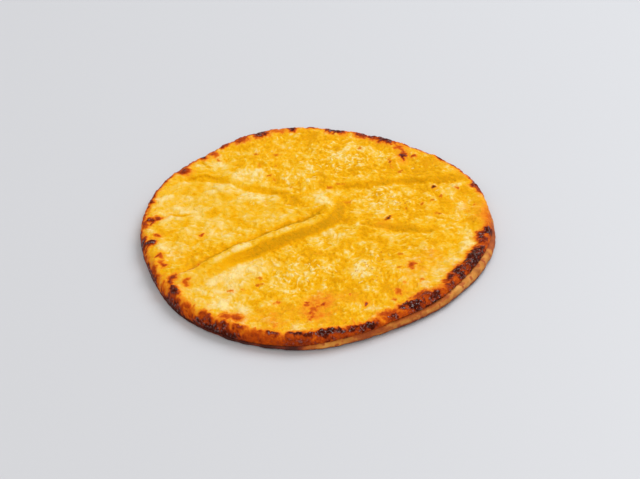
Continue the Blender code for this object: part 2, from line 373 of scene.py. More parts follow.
# The solids were centred on their box, so these pieces move by the same amount, in mm.
flats = np.arange(naan["stepsRound"]) * 2 * math.pi / naan["stepsRound"]
flatX, flatY = outlineRadius(flats) * np.cos(flats), outlineRadius(flats) * np.sin(flats)
breadLow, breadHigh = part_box("bread")
centred = np.array([(breadLow.x + breadHigh.x) / mm - flatX.max() - flatX.min(),
                    (breadLow.y + breadHigh.y) / mm - flatY.max() - flatY.min(), 0]) / 2


def makePiece(name, node, material, points, quads, caps, values):
    # A mesh object from points in mm, with vertex attributes, riding on the one body.
    mesh = bpy.data.meshes.new(name)
    faces = quads.tolist() + [list(cap) for cap in caps]
    mesh.from_pydata(((points + centred) * mm).tolist(), [], faces)
    for key, value in values.items():
        mesh.attributes.new(key, "FLOAT", "POINT").data.foreach_set("value", value.astype(np.float32))
    mesh.materials.append(material)
    mesh.shade_smooth()
    mesh.update()
    piece = bpy.data.objects.new(name, mesh)
    bpy.context.scene.collection.objects.link(piece)
    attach(piece, "root")
    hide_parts(node)
    print(name, len(points), "vertices", len(faces), "faces")


# Where the cheese is paler or deeper: (x, y, radius, amount), in mm. The deeper ones at (8, 4) and (-10, 17),
# by the ends of the main and left folds, are painted shade; the rest are the cheese's own tone.
tonesAndPaintedShade = (
    (-11, -79, 7, 1.0), (-37, -65, 9, 1.0), (-52, -51, 6, 1.0), (-38, -43, 10, 0.9), (20, -43, 7, 0.9),
    (-9, -40, 7, 0.5), (52, -38, 6, 0.7), (-31, -33, 7, 0.9), (59, -30, 7, 0.8), (-62, -22, 6, 0.6),
    (68, -18, 7, 0.8), (-44, -14, 6, 0.8), (3, -11, 7, 0.6), (-22, -3, 6, 0.5), (-52, -3, 7, 0.5),
    (-68, 8, 8, 0.6), (20, 12, 7, 0.5), (-59, 13, 7, 0.6), (36, 14, 5, 0.6), (0, 16, 6, 0.9),
    (-28, 20, 7, 0.9), (-73, 21, 6, 0.5), (-49, 24, 7, 0.7), (-40, 32, 6, 1.0), (-68, 37, 6, 0.9),
    (-30, 37, 6, 0.7), (-48, 45, 6, 0.6), (-60, 52, 7, 0.7), (12, 54, 7, 0.6), (3, -70, 7, -0.8),
    (-16, -66, 9, -0.5), (-2, -63, 8, -0.6), (11, -50, 7, -0.9), (25, -48, 6, -0.5), (0, -29, 7, -1.0),
    (-49, -26, 7, -0.5), (28, -25, 6, -0.5), (56, -22, 7, -0.8), (28, -2, 8, -0.6), (8, 4, 7, -1.0),
    (45, 13, 7, -0.6), (-10, 17, 5, -0.7), (48, 36, 9, -0.7), (12, 43, 7, -0.7), (58, 45, 7, -0.5),
    (34, 46, 8, -0.6), (56, 54, 9, -0.5), (-19, 59, 7, -0.6), (0, 66, 10, -0.5),
)
# Scorched stretches of the rim: (first and last angle, mm in from the outline, half width, strength).
scorches = (
    (16, 22, 2.2, 1.4, 0.6), (19, 29, 1.3, 1.2, 0.9), (21.3, 22.8, 3.8, 1.6, 0.7),
    (57, 59.5, 6.0, 2.4, 0.45), (61.5, 67.5, 3.0, 3.8, 0.97), (68, 72, 3.2, 2.6, 0.75),
    (72, 76.5, 3.0, 3.0, 0.7), (80.5, 87, 3.0, 3.6, 1.0), (91.5, 93.5, 2.4, 1.2, 0.75),
    (98.3, 100.2, 3.2, 3.0, 0.95), (102, 107, 4.4, 2.8, 0.35), (102, 134, 1.9, 0.6, 0.72),
    (136, 176, 1.8, 0.6, 0.76), (26, 60, 1.9, 0.6, 0.8), (108, 113, 4.0, 4.4, 0.85),
    (115.5, 121, 3.8, 3.6, 0.55), (123.5, 127, 2.6, 1.4, 0.7), (130.5, 132.5, 4.2, 3.4, 0.45),
    (134.5, 137, 3.0, 1.8, 0.95), (145.5, 149.5, 4.8, 3.6, 0.62), (139, 149, 2.2, 1.2, 0.5),
    (150, 157, 2.2, 0.8, 0.5), (168, 170, 2.2, 1.0, 0.7), (171, 183, 1.8, 0.5, 0.55),
    (177.8, 179.2, 8.0, 1.4, 0.6), (178.8, 181.0, 5.0, 2.2, 0.75), (180, 184, 2.6, 1.2, 0.6),
    (184, 191, 0.0, 1.6, 0.8), (189.2, 190.8, 8.0, 1.6, 0.5), (192.7, 194.6, 4.0, 2.6, 0.9),
    (189, 195, 1.0, 1.6, 0.85), (196, 200, 0.2, 1.0, 0.55), (200, 213, -0.3, 1.7, 0.95),
    (204, 212, 1.6, 0.6, 0.55), (201, 203.5, 6.0, 1.2, 0.5), (205, 208, 5.4, 1.2, 0.42),
    (214.6, 216.4, 6.0, 2.2, 0.75), (216, 218, 3.8, 1.0, 0.65), (218.6, 222.8, 3.2, 1.5, 0.88),
    (219.6, 221.4, 9.4, 1.2, 0.45), (216, 229, -0.2, 2.0, 0.95), (220, 226, 1.8, 0.8, 0.6),
    (227, 231, 2.2, 0.7, 0.5), (231, 250, -0.2, 2.1, 1.0), (234, 239, 2.0, 0.9, 0.6),
    (240, 245, 1.8, 0.8, 0.75), (245, 249, 2.4, 0.8, 0.55), (240.4, 243.6, 5.6, 2.6, 0.45),
    (242.6, 246.4, 7.0, 2.4, 0.5), (249, 262, 0.8, 1.8, 0.5), (252, 255, 2.3, 0.7, 0.5),
    (255.5, 259, 2.6, 0.8, 0.8), (261.5, 266, 3.0, 1.0, 0.97), (265.5, 269, 2.5, 0.7, 0.8),
    (259, 270, 0.6, 1.7, 0.62), (269.5, 276, 2.9, 1.2, 1.0), (274.5, 278.5, 2.4, 0.9, 0.9),
    (278, 282.5, 2.5, 1.2, 0.85), (268, 284, 1.2, 1.3, 0.52), (281.5, 289, 1.5, 1.1, 0.9),
    (290, 297, 4.8, 1.8, 0.5), (292.5, 296, 2.4, 1.2, 0.8), (288, 301, 0.4, 1.4, 0.55),
    (297.5, 300, 4.6, 1.6, 0.85), (298.6, 301.6, 6.0, 1.1, 0.85), (300.2, 306, 3.8, 2.9, 0.97),
    (299, 306, 0.8, 1.4, 0.8), (303.5, 311, 7.6, 1.6, 0.5), (305.5, 312, 5.4, 2.2, 0.68),
    (304, 315, 0.4, 1.4, 0.95), (308.5, 314, 3.2, 2.1, 0.85), (314, 318, 3.0, 3.6, 0.3),
    (317.5, 323, 2.8, 2.9, 0.74), (319, 325.5, 6.2, 1.4, 0.78), (324, 331, 6.6, 2.2, 0.9),
    (324.6, 327.6, 3.8, 2.8, 0.98), (328, 332, 4.6, 1.6, 0.75), (329.5, 345, 3.2, 2.9, 0.98),
    (331, 343.5, 6.0, 2.3, 0.94), (317, 345, 0.2, 0.9, 0.6), (345, 350.5, 5.0, 2.1, 0.78),
    (348, 353, 7.0, 2.2, 0.8), (352, 355.4, 3.9, 2.5, 0.95), (352.6, 357, 1.0, 1.8, 0.85),
    (344, 352, 1.8, 2.2, 0.42),
)
# How golden the rim is: (angle and half width in degrees, amount, how far in from the outline, in mm).
rimGold = (
    (190, 16, 0.15, 4.5), (215, 20, 0.18, 4.0), (245, 20, 0.24, 4.0), (275, 18, 0.28, 4.6),
    (302, 16, 0.34, 8.5), (330, 18, 0.36, 9.5), (352, 14, 0.26, 9.0), (238, 26, 0.12, 2.6),
    (272, 24, 0.16, 2.8), (318, 28, 0.12, 4.0), (115, 26, 0.2, 7.0), (150, 20, 0.14, 5.0),
    (170, 10, 0.14, 5.0), (10, 14, 0.1, 6.0), (24, 9, 0.2, 6.0), (45, 14, 0.05, 5.0), (66, 16, 0.18, 6.5),
    (85, 12, 0.18, 6.0),
)
# How far orange flecks reach over the rim: (angle, half width in degrees, amount).
rimFlecks = (
    (195, 26, 0.75), (235, 22, 0.7), (270, 24, 0.6), (305, 20, 0.6), (75, 30, 0.35), (125, 35, 0.5),
)
# Orange blushes where the fat fried: (x, y, radius, amount), in mm.
blushes = (
    (-1, -66, 8, 0.2), (1, -57, 7, 0.09), (45, -60, 8, 0.08), (52, -52, 7, 0.05), (-22, -68, 8, 0.05),
    (3, -73, 10, 0.06), (45, 62, 7, 0.05), (60, 49, 6, 0.06), (14, -55, 6, 0.09), (21, -64, 7, 0.09),
    (4, -57, 6, 0.1), (34, -52, 8, 0.09), (41, -34, 8, 0.11), (43, -44, 7, 0.08), (50, -26, 7, 0.1),
    (57, -36, 8, 0.07), (30, -2, 7, 0.09), (55, 6, 5, 0.07), (13, 14, 5, 0.06), (-19, 57, 6, 0.07),
    (-54, -14, 6, 0.06), (-61, -27, 7, 0.09), (-54, -38, 7, 0.07), (-35, -72, 7, 0.14), (-18, -75, 8, 0.13),
    (-60, 28, 10, 0.06), (-66, 12, 8, 0.05), (-66, -8, 8, 0.06), (35, 48, 7, 0.06), (52, 48, 8, 0.06),
    (-44, 56, 9, 0.05), (0, 72, 14, 0.06), (62, 34, 7, 0.05), (72, 8, 9, 0.1), (79, 2, 8, 0.12),
    (66, 18, 9, 0.07), (2, -25, 6, 0.04), (-25, 66, 10, 0.06), (-16, -60, 7, 0.06),
)
# Small browned spots: (x, y, half length, half width, turn in degrees, strength), in mm.
spots = (
    (-30, 56.5, 1.6, 1.1, 20, 0.7), (-20, 57, 2.0, 0.7, 10, 0.5), (-20, 47, 1.3, 0.8, 0, 0.6),
    (-20.5, 35, 2.6, 1.5, 90, 0.35), (-23, 38, 1.2, 0.7, 30, 0.65), (-12.5, 28, 2.0, 0.8, 0, 0.55),
    (-24, 13.5, 2.6, 0.8, 100, 0.4), (-51, 57, 1.5, 0.8, 30, 0.6), (-48, 52, 2.0, 0.6, 150, 0.6),
    (-28, 47, 2.6, 1.6, 90, 0.3), (20, 63, 1.2, 0.9, 0, 0.5), (10, 30, 3.0, 0.8, 5, 0.45),
    (5, 27.5, 2.0, 0.7, 0, 0.5), (13.5, 16, 3.5, 1.5, 0, 0.35), (54, 26.5, 1.4, 1.1, 0, 1.0),
    (57, 20.5, 1.5, 0.9, 40, 0.55), (53, 16.5, 1.3, 0.8, 0, 0.5), (48, 14, 1.0, 0.7, 0, 0.6),
    (55, 6.5, 1.5, 1.2, 0, 0.75), (72, 13.5, 1.6, 0.8, 60, 0.6), (32, 2, 2.2, 0.8, 40, 1.0),
    (40, 10, 1.2, 0.8, 0, 0.4), (65, 27, 1.4, 0.8, 0, 0.5), (41, 55.5, 3.0, 1.9, 70, 0.95),
    (40.5, 61, 4.0, 1.4, 95, 0.5), (46, 54.5, 1.4, 0.9, 0, 0.7), (34.5, 49, 2.6, 0.8, 100, 0.7),
    (35, 45, 1.4, 0.9, 0, 0.6), (39, 42, 1.6, 1.0, 0, 0.55), (41, -33.5, 2.6, 2.0, 40, 0.62),
    (36, -26, 1.6, 1.2, 0, 0.45), (35, -35.5, 1.3, 1.2, 0, 0.5), (34.5, -52.5, 2.4, 1.7, 10, 0.5),
    (32, -58.5, 1.4, 1.1, 0, 0.5), (14, -55.5, 1.5, 1.2, 0, 0.5), (20, -61.5, 0.8, 0.8, 0, 0.95),
    (44, -45, 2.0, 1.3, 0, 0.35), (37, -47, 1.8, 1.0, 0, 0.3), (-2, -67, 4.8, 2.8, 65, 0.55),
    (-4.5, -62, 1.8, 1.1, 0, 0.66), (2, -62, 1.7, 1.0, 20, 0.66), (-2, -70, 1.5, 1.2, 0, 0.55),
    (-18, -77, 2.2, 1.2, 0, 0.4), (-37, -71.5, 3.2, 1.8, 10, 0.5), (-17, -61, 1.8, 1.3, 0, 0.5),
    (-25, -44, 1.3, 0.8, 0, 0.5), (-25, -48, 2.0, 0.8, 0, 0.55), (-37, -53, 1.8, 0.8, 0, 0.45),
    (-32, -52.5, 1.3, 0.8, 0, 0.4), (-52, -12, 1.8, 0.9, 40, 0.6), (-76, -18, 2.6, 0.8, 35, 0.75),
    (-76, -22, 2.4, 0.6, 45, 0.7), (-75, -2, 2.6, 0.7, 40, 0.8), (-72, 1, 2.8, 0.6, 30, 0.75),
    (-70, -28, 2.4, 0.8, 35, 0.65), (-67, -35, 2.0, 0.6, 30, 0.65), (-54, -37, 3.2, 0.7, 40, 0.7),
    (-63, -46, 3.6, 0.9, 50, 0.7), (-67, -48, 2.4, 0.8, 50, 0.65), (-56, -47.5, 2.2, 1.0, 30, 0.5),
    (-62, -54, 3.0, 2.2, 30, 0.65), (-58, -63, 3.2, 1.8, 20, 0.65), (-48, -68.5, 2.0, 1.3, 0, 0.6),
    (0, -25, 3.0, 1.6, 20, 0.25), (28, -2, 3.0, 1.6, 20, 0.22), (50, -24, 4.0, 2.6, 10, 0.25),
    (60, -40, 3.0, 2.0, 30, 0.25), (-63, 42, 2.4, 1.2, 30, 0.5), (21, -60, 3.0, 2.0, 0, 0.25),
)
# Where the cheese is peppered with tiny dark holes: (x, y, radius, amount).
peppered = (
    (22, -40, 9, 1.0), (26, -26, 7, 0.9), (35, 15, 6, 0.9), (44, 12, 6, 0.6), (28, 24, 5, 0.5),
    (-30, 18, 7, 0.4), (15, 52, 10, 0.35), (-5, 5, 9, 0.3), (52, -46, 5, 0.4),
)


# How the browning spreads, in mm where it is a length.
baking = {
    "raggedness": 0.4, "drift": 0.8,    # how uneven the edge of a patch is, and how far noise shifts it
    "squareness": 2.6,                  # 2 would make a scorched stretch an ellipse
    "degreeLength": 1.4,                # of one degree along the rim, in mm
    "fleckSize": 1.2, "fleckWidth": 3.4, "fleckStrength": 0.42,
    "spotReach": 9, "spotDepth": 1.5,   # how far a spot is worked out, and its stretch along Y
    "glowWidth": 1.9, "glowPast": 1.3,  # how far the glow reaches past a patch, along and across the rim
    "rimSpots": (27, 13),               # spots nearer the rim, in front and behind, brown as the rim does
}


def zonesOf(zones, x, y):
    # The sum of round bells, each (x, y, radius, amount).
    total = np.zeros_like(x)
    for centreX, centreY, radius, amount in zones:
        total += amount * hump(np.hypot(x - centreX, y - centreY), radius)
    return total


def toastOf(points, angle, inset):
    # How baked each point is, 0 for raw cheese to 1 for char: the strongest of the scorched stretches
    # and spots, each a ragged patch with a soft edge, over flecks, blushes and a golden rim. The spots
    # away from the rim are given apart, because they brown without the orange.
    x, y = points[:, 0], points[:, 1]
    flat = points * (1, 1, 0.8)
    drift = layeredNoise(flat, 2.6, 41, 2)
    driftAlong = layeredNoise(flat, 3.4, 47, 2)
    grain = layeredNoise(flat, 1.4, 53, 2)
    uneven = 1 + 0.22 * layeredNoise(flat, 2.2, 59, 2)
    shifted = inset + baking["drift"] * drift
    gold = np.zeros_like(inset)
    for middle, halfWidth, amount, reach in rimGold:
        stretch = roundTheSide(((middle, halfWidth, amount),), angle)
        gold += stretch * smoothStep(reach, 0.25 * reach, inset + 1.6 * drift)
    blush = zonesOf(blushes, x, y) * (1 + 0.6 * drift)
    rolled = np.stack([naan["meanRadius"] * np.cos(angle) / baking["fleckSize"],
                       naan["meanRadius"] * np.sin(angle) / baking["fleckSize"],
                       shifted / baking["fleckWidth"]], axis=-1)
    flecks = smoothStep(0.2, 0.75, gradientNoise(rolled, 1.0, 57)) * roundTheSide(rimFlecks, angle)
    flecks = flecks * smoothStep(11, 4, inset + 2.5 * driftAlong)
    toast = np.maximum(gold * (1 + 0.5 * grain) + blush, baking["fleckStrength"] * flecks)
    glow, spot = np.zeros_like(toast), np.zeros_like(toast)
    degrees = np.degrees(angle)
    power = baking["squareness"]
    for first, last, middle, halfWidth, strength in scorches:
        span = last - first
        turn = (degrees - first - span / 2 + 180) % 360 - 180
        aside = turn * baking["degreeLength"] + 0.7 * driftAlong
        across = shifted - middle
        reach = abs(aside / (0.7 * span + 0.7)) ** power + abs(across / halfWidth) ** power
        patch = smoothStep(1.5, 0.3, reach ** (1 / power) + baking["raggedness"] * grain)
        toast = np.maximum(toast, strength * uneven * patch)
        past = np.maximum(abs(aside) - 0.7 * span, 0) / baking["glowWidth"]
        beyond = np.hypot(past, across / (halfWidth + baking["glowPast"]))
        glow = np.maximum(glow, (0.12 + 0.22 * strength) * hump(beyond, 1.0))
    for spotX, spotY, length, width, turn, strength in spots:
        near = (abs(x - spotX) < baking["spotReach"]) & (abs(y - spotY) < baking["spotReach"])
        dx = x[near] - spotX + baking["drift"] * drift[near]
        dy = (y[near] - spotY) / baking["spotDepth"] + baking["drift"] * driftAlong[near]
        aheadX, aheadY = math.cos(math.radians(turn)), math.sin(math.radians(turn))
        reach = np.hypot((dx * aheadX + dy * aheadY) / length, (dy * aheadX - dx * aheadY) / width)
        fromRim = outlineRadius(math.atan2(spotY, spotX)) - math.hypot(spotX, spotY)
        shade = toast if fromRim < baking["rimSpots"][spotY >= 0] else spot
        browned = strength ** 1.2 * smoothStep(1.3, 0.0, reach + 0.6 * grain[near])
        halo = 0.24 * strength * hump(reach + 0.3 * grain[near], 2.2)
        shade[near] = np.maximum(shade[near], np.maximum(browned, halo))
    return np.clip(np.maximum(toast, glow) + 0.25 * np.minimum(toast, glow), 0, 1), np.clip(spot, 0, 1)


def colour(text):
    # sRGB hex to linear: a straight line near black, and a power of 2.4 above it.
    srgb = np.array([int(text[k:k + 2], 16) / 255 for k in (1, 3, 5)])
    return (*np.where(srgb <= 0.04045, srgb / 12.92, ((srgb + 0.055) / 1.055) ** 2.4), 1)


def addNode(tree, kind, links=None, values=None, stops=(), out=0, **settings):
    # One node with its links, its sockets' values, its settings and, on a colour ramp, its stops. Gives
    # one of its outputs.
    made = tree.nodes.new(kind)
    for key, value in settings.items():
        setattr(made, key, value)
    for key, value in (values or {}).items():
        made.inputs[key].default_value = value
    for key, source in (links or {}).items():
        tree.links.new(source, made.inputs[key])
    for place, (position, text) in enumerate(stops):
        element = made.color_ramp.elements[place] if place < 2 else made.color_ramp.elements.new(position)
        element.position = position
        element.color = colour(text)
    return made.outputs[out]


def newMaterial(name, values):
    # A material whose shader has these values on its own sockets.
    made = bpy.data.materials.new(name)
    made.use_nodes = True
    sockets = made.node_tree.nodes["Principled BSDF"].inputs
    for key, value in values.items():
        sockets[key].default_value = value
    return made, made.node_tree, sockets


def bakedMaterial(name, look, attributes):
    # What both baked surfaces start from: their vertex attributes, noises on Object coordinates, and the
    # coarse and the fine one of those, each centred on 0.
    made, tree, sockets = newMaterial(name, look["surface"])
    where = addNode(tree, "ShaderNodeTexCoord", out="Object")
    read = [addNode(tree, "ShaderNodeAttribute", out="Fac", attribute_name=key) for key in attributes]
    noises = [addNode(tree, "ShaderNodeTexNoise", {"Vector": where},
                      {"Scale": 1 / size, "Detail": detail, "Roughness": rough, "Distortion": bend})
              for size, detail, rough, bend in look["noises"]]
    shifts = [addNode(tree, "ShaderNodeMath", {0: noise}, {1: amount, 2: -amount / 2},
                      operation="MULTIPLY_ADD") for noise, amount in zip(noises, look["shifts"])]
    both = addNode(tree, "ShaderNodeMath", {0: shifts[0], 1: shifts[1]}, operation="ADD")
    return made, tree, sockets, read, noises, shifts, both


# Melted grated cheese, browned under a grill: a soft satin fat film over curds that are cream where
# they stand up and amber where they run together; where it burnt, dry dark blisters with sharp glints.
cheeseLook = {
    "curd": ((0.0, "#cd930c"), (1.0, "#f4da90"), (0.12, "#e39e07"), (0.3, "#efac08"), (0.44, "#f0b520"),
             (0.58, "#f0bd3c"), (0.72, "#f1c65d"), (0.88, "#f2d180")),
    "baked": ((0.08, "#f3a726"), (0.97, "#46140a"), (0.22, "#ee911d"), (0.36, "#dd7014"), (0.5, "#c14e10"),
              (0.66, "#97350f"), (0.83, "#69200e")),
    "spotted": ((0.1, "#ee9a13"), (1.0, "#432213"), (0.42, "#d27610"), (0.7, "#9a4f13")),
    "bakedFrom": (0.02, 0.26), "spottedFrom": (0.06, 0.3),      # where the browning starts to cover the curd
    "holes": "#c87a24", "holesFrom": (0.62, 0.72),
    # Size in m, detail, roughness, distortion: of the mottle, the fine grain, the tiny holes, the flakes
    # of glaze, and the pits.
    "noises": ((0.0022, 2, 0.5, 0.8), (0.0008, 2, 0.6, 0), (0.0012, 1, 0.5, 0), (0.001, 1, 0.5, 0),
               (0.0006, 3, 0.65, 0)),
    "shifts": (0.38, 0.1),              # how far the mottle and the grain shift the colour
    "keptWhereWaxy": 0.45, "bakedShift": 0.7, "spotShift": 0.8, "roughShift": 0.25,
    "roughness": 0.46, "charRoughness": 0.4, "charFrom": (0.3, 0.8),
    "glazeFrom": (0.58, 0.84), "flakesFrom": (0.53, 0.62),      # a thin shiny film on the fried blisters
    "pits": {"Strength": 0.9, "Distance": 0.00052}, "dents": {"Strength": 0.75, "Distance": 0.001},
    "surface": {
        "IOR": 1.45, "Specular IOR Level": 0.03, "Specular Tint": colour("#ffc860"),
        "Coat Roughness": 0.15, "Coat IOR": 1.8,
        # Light that spreads in the fat, in mm of red, green and blue.
        "Subsurface Weight": 0.22, "Subsurface Radius": (1.0, 0.6, 0.2), "Subsurface Scale": mm,
    },
}


def cheeseMaterial(name):
    # The curd's colour follows its tone, then browning, spots and tiny holes cover it; char is glazed.
    look = cheeseLook
    made, tree, sockets, read, noises, shifts, both = bakedMaterial(
        name, look, ("tone", "toast", "spot", "pepper", "waxy"))
    tone, toast, spot, pepper, wax = read
    mottle, fine, dots, flakes, pits = noises
    kept = addNode(tree, "ShaderNodeMapRange", {0: wax}, {3: 1, 4: look["keptWhereWaxy"]})
    toned = addNode(tree, "ShaderNodeMath", {0: both, 1: kept, 2: tone}, operation="MULTIPLY_ADD")
    shown = addNode(tree, "ShaderNodeValToRGB", {0: toned}, stops=look["curd"])
    # The browning is broken up more where there is more of it.
    broken = addNode(tree, "ShaderNodeMath", {0: both, 1: toast}, operation="MULTIPLY")
    baked = addNode(tree, "ShaderNodeMath", {0: broken, 2: toast}, {1: look["bakedShift"]},
                    operation="MULTIPLY_ADD")
    spotty = addNode(tree, "ShaderNodeMath", {0: shifts[0], 2: spot}, {1: look["spotShift"]},
                     operation="MULTIPLY_ADD")
    for shade, stops, amount, (low, high) in ((baked, look["baked"], baked, look["bakedFrom"]),
                                              (spotty, look["spotted"], spot, look["spottedFrom"])):
        over = addNode(tree, "ShaderNodeValToRGB", {0: shade}, stops=stops)
        cover = addNode(tree, "ShaderNodeMapRange", {0: amount}, {1: low, 2: high},
                        interpolation_type="SMOOTHSTEP")
        shown = addNode(tree, "ShaderNodeMix", {0: cover, 6: shown, 7: over}, out=2, data_type="RGBA")
    # Holes show where the cheese is peppered, and glaze in flakes where it is charred.
    low, high = look["glazeFrom"]
    charred = addNode(tree, "ShaderNodeMapRange", {0: baked}, {1: low, 2: high})
    parts = []
    for noise, amount, (low, high) in ((dots, pepper, look["holesFrom"]),
                                       (flakes, charred, look["flakesFrom"])):
        part = addNode(tree, "ShaderNodeMapRange", {0: noise}, {1: low, 2: high})
        parts.append(addNode(tree, "ShaderNodeMath", {0: part, 1: amount}, operation="MULTIPLY"))
    holes, glaze = parts
    shown = addNode(tree, "ShaderNodeMix", {0: holes, 6: shown}, {7: colour(look["holes"])}, out=2,
                    data_type="RGBA")
    low, high = look["charFrom"]
    rough = addNode(tree, "ShaderNodeMapRange", {0: baked},
                    {1: low, 2: high, 3: look["roughness"], 4: look["charRoughness"]})
    rough = addNode(tree, "ShaderNodeMath", {0: shifts[1], 2: rough}, {1: look["roughShift"]},
                    operation="MULTIPLY_ADD")
    pitted = addNode(tree, "ShaderNodeBump", {"Height": pits}, look["pits"])
    dented = addNode(tree, "ShaderNodeBump", {"Height": mottle, "Normal": pitted}, look["dents"])
    for key, source in {"Base Color": shown, "Roughness": rough, "Normal": dented,
                        "Coat Weight": glaze, "Coat Normal": dented}.items():
        tree.links.new(source, sockets[key])
    return made


cheese = {
    "gridSteps": 280,           # across the disc, which makes the cells about half a millimetre
    "crownInset": 5.5,          # where the top starts to turn over
    "rollInset": 3.2, "rollHeight": 0.5,            # where it rolls over the rim, and how high above its top
    "roll": ((1.5, -0.1), (0.4, -1.3), (0, -2.5)),  # the same further down
    "rollRings": 13,
    "stretch": 0.78,            # of the curds along Y, because they melted that way
    "lumpSize": 5.4, "lumpHeight": 0.62,
    "fineLumpSize": 2.1, "fineLumpHeight": 0.32,
    "foldedAt": 0.35,           # taken off the folded noise, so that curds rise and sink
    "charBubble": 2.1, "charHeight": 0.6,
    "charFade": (0.18, 0.24),   # how much paler char is in its valleys, and how far its caps undo that
    "creaseDepth": 0.4,
    "strandWidth": 1.2, "strandLength": 3.2, "strandHeight": 0.24,
    "patchSize": 9.0, "crumbSize": 2.4, "poolSize": 5.0,
    # The tone is a sum of these: where it starts, and how much of each field.
    "toneStart": 0.40, "zones": 0.42, "curds": 0.40, "small": 0.36, "patches": 0.28, "strands": 0.60,
    # The crease weight darkens the tone along the creases: painted shade.
    "crumbs": 0.14, "pools": 0.16, "wax": 0.06, "creasesWithPaintedShade": -0.45,
    # The tone that each fold's wall is drawn to: painted shade.
    "toneLimits": (0.13, 1.2), "paintedShadeTone": 0.05,
    "paintedLightFrom": (0.5, 0.85), "paintedLightTone": 0.5, "paintedLightMost": 0.5,     # painted light: slopes that face the key lamp are painted paler, those turned away deeper
}
# Where the grated strands show most: (x, y, radius, amount), in mm.
stranded = (
    (-9, -37, 9, 1), (-8, -47, 7, 1), (-2, -40, 8, 1), (0, -17, 7, 0.8), (14, 52, 12, 1), (2, 45, 10, 0.6),
    (28, 22, 8, 1), (36, 14, 7, 1), (24, -26, 7, 1), (20, -43, 8, 1), (-14, 32, 9, 0.9), (-26, 50, 9, 0.7),
    (42, -34, 5, 1), (50, -24, 6, 0.8), (-30, 18, 7, 0.8), (55, 30, 12, 0.5), (5, -62, 10, 0.6),
    (-62, -25, 10, 0.5), (35, 50, 10, 0.6),
)
# Where it set smooth and waxy instead: (x, y, radius, amount), in mm.
waxy = ((-50, 14, 30, 1.0), (-42, -44, 20, 0.8), (-12, 0, 12, 0.5), (60, -25, 14, 0.4))
# Short sharp creases, dug into the cheese and darkened with painted shade: (ends of the line, half width), in
# mm.
creasesWithPaintedShade = (
    (((10.5, 14), (10.8, 4), (12.5, -4)), 0.8), (((-57, 52), (-53, 46), (-50, 42)), 0.6),
    (((-70, 6), (-62, 4), (-56, 6)), 0.6), (((-24, 24), (-16, 22.5), (-8, 24)), 0.7),
    (((-63, 34), (-54, 36.5), (-46, 35)), 0.7),
)


def waxOf(x, y):
    # How smooth it set: the bells of waxy added up, 1 at most.
    return np.clip(zonesOf(waxy, x, y), 0, 1)


def creaseDepth(points):
    # 1 along each crease, a bell across it, faded at both ends.
    depth = np.zeros(len(points))
    for line, halfWidth in creasesWithPaintedShade:
        across, along, reached = acrossLine(line, points[:, 0], points[:, 1])
        bell = hump(across + 0.5 * gradientNoise(points, 3.0, 77), halfWidth)
        depth = np.maximum(depth, bell * smoothStep(0, 4, along) * smoothStep(0, 4, reached - along))
    return depth


def strandCover(x, y):
    # Where the grated strands still show, 0 to 1: less towards the left.
    return np.clip(0.45 + 0.6 * zonesOf(stranded, x, y) - 0.25 * smoothStep(-25, -60, x), 0, 1)


def foldWall(x, y):
    # 1 on the smooth slope of the main fold, falling to 0 off it.
    across, along, reached = acrossLine(mainFold["line"], x, y)
    return smoothStep(-2.4, -0.8, across) * smoothStep(5.0, 3.0, across) * smoothStep(16, 40, along)


def cheeseDetail(points, toast, char):
    # Curds are folded noise, whose ups are round and whose valleys are sharp; char is close-set caps.
    # Gives the height of it all, and the fields of curds, small curds and strands.
    x, y = points[:, 0], points[:, 1]
    flat = points * (1, cheese["stretch"], 0.8)
    warped = flat + 1.3 * np.stack([gradientNoise(flat, 3.5, seed) for seed in (61, 62, 63)], axis=-1)
    curds, small = (abs(layeredNoise(warped, size, seed, 2)) - cheese["foldedAt"]
                    for size, seed in ((cheese["lumpSize"], 71), (cheese["fineLumpSize"], 81)))
    strands = strandField(flat, cheese["strandWidth"], cheese["strandLength"], 171) * strandCover(x, y)
    wax, wall = waxOf(x, y), foldWall(x, y)
    small, strands = small * (1 - 0.55 * wax), strands * (1 - 0.6 * wax)
    rise = (cheese["lumpHeight"] * curds + cheese["fineLumpHeight"] * small
            + cheese["strandHeight"] * strands) * (1 - 0.8 * wall)
    rise = rise - cheese["creaseDepth"] * creaseDepth(points)
    charred = smoothStep(0.35, 0.8, toast)
    rise = rise * (1 - charred) + charred * cheese["charHeight"] * (char - 0.35)
    return rise, curds, small, strands * (1 - wall)


def foldPaintedLight(tone, points):
    # Painted shade: each fold's wall, turned from the key lamp, is drawn towards deep gold: wholly at its
    # foot, less and less above its top. The main fold then has a painted highlight, a pale crest, and painted
    # shade, a thin amber line in the groove behind it.
    for fold in folds:
        across, along, reached = acrossLine(fold["line"], points[:, 0], points[:, 1])
        across = across + 0.35 * gradientNoise(points, 4.0, 75)
        left = reached - along
        ends = smoothStep(4, fold["clearFrom"], along) * smoothStep(-1, 6, left)
        above = np.maximum(across - fold["wallTop"], 0)
        paintedWallShade = fold["paintedWallShade"] * ends * smoothStep(-1.7, -0.5, across) * np.exp(-above / fold["fade"])
        tone = tone * (1 - paintedWallShade) + paintedWallShade * cheese["paintedShadeTone"]
        # Painted highlight along the crest.
        tone = tone + fold["paintedCrestHighlight"] * hump(across - fold["crestAt"] + 0.6, 1.5) * ends
        # Painted shade in the groove behind the crest.
        groove = hump(across - fold["grooveAt"] - 0.5, 0.8)
        tone = tone - fold["paintedGrooveShade"] * groove * smoothStep(4, 12, along) * smoothStep(14, 30, left)
    return tone


